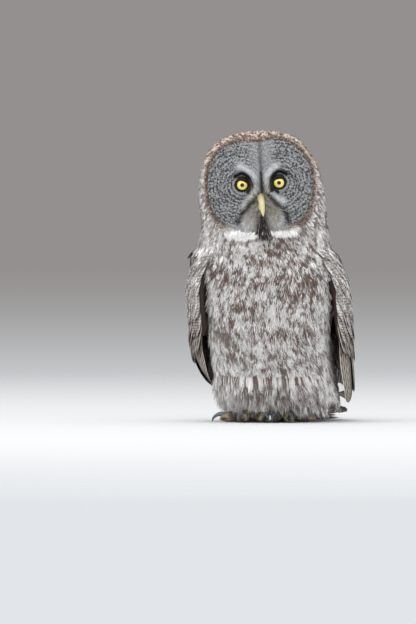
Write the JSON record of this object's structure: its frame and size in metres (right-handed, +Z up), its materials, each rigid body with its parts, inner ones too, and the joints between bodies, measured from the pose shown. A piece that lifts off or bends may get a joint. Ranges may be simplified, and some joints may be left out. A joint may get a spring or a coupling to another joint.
{
  "type": "great grey owl, still life-size model",
  "caption": "Life-size great grey owl standing upright with folded wings, face to the front, long tail laid back on the floor.",
  "frame": {"origin": "middle of the base of the whole model's bounding box, on the floor", "axes": "+Z up, -Y the way the face looks, +X the owl's own left"},
  "size_m": [0.2448, 0.3886, 0.4209],
  "materials": {
    "crown_feathers": "soft brown and white flecked feathers",
    "disc_feathers": "fine grey feathers with dark rings",
    "body_feathers": "soft mottled grey, white and brown feathers",
    "back_feathers": "mottled grey-brown feathers",
    "flight_feathers": "barred grey-brown feathers",
    "tail_feathers": "dark barred feathers",
    "undertail_feathers": "pale fluffy feathers with brown bars",
    "leg_feathers": "short fluffy barred feathers",
    "toe_feathers": "short dense feathers",
    "eye": "clear gloss over a yellow iris",
    "lid_skin": "dark soft skin",
    "bill_horn": "satin yellow horn",
    "claw_horn": "satin dark horn"
  },
  "bodies": {
    "root": {"head": "crown_feathers", "facial_disc": "disc_feathers", "eye_left": "eye", "eye_right": "eye", "lids_left": "lid_skin", "lids_right": "lid_skin", "bill_upper": "bill_horn", "bill_lower": "bill_horn", "neck": "body_feathers", "breast": "body_feathers", "back": "back_feathers", "belly": "body_feathers", "rump": "back_feathers", "wing_left": "flight_feathers", "wing_right": "flight_feathers", "tail": "tail_feathers", "undertail_coverts": "undertail_feathers", "leg_left": "leg_feathers", "leg_right": "leg_feathers", "foot_left": "toe_feathers", "foot_right": "toe_feathers", "claw_left_1": "claw_horn", "claw_left_2": "claw_horn", "claw_left_3": "claw_horn", "claw_left_4": "claw_horn", "claw_right_1": "claw_horn", "claw_right_2": "claw_horn", "claw_right_3": "claw_horn", "claw_right_4": "claw_horn"}
  },
  "joints": []
}
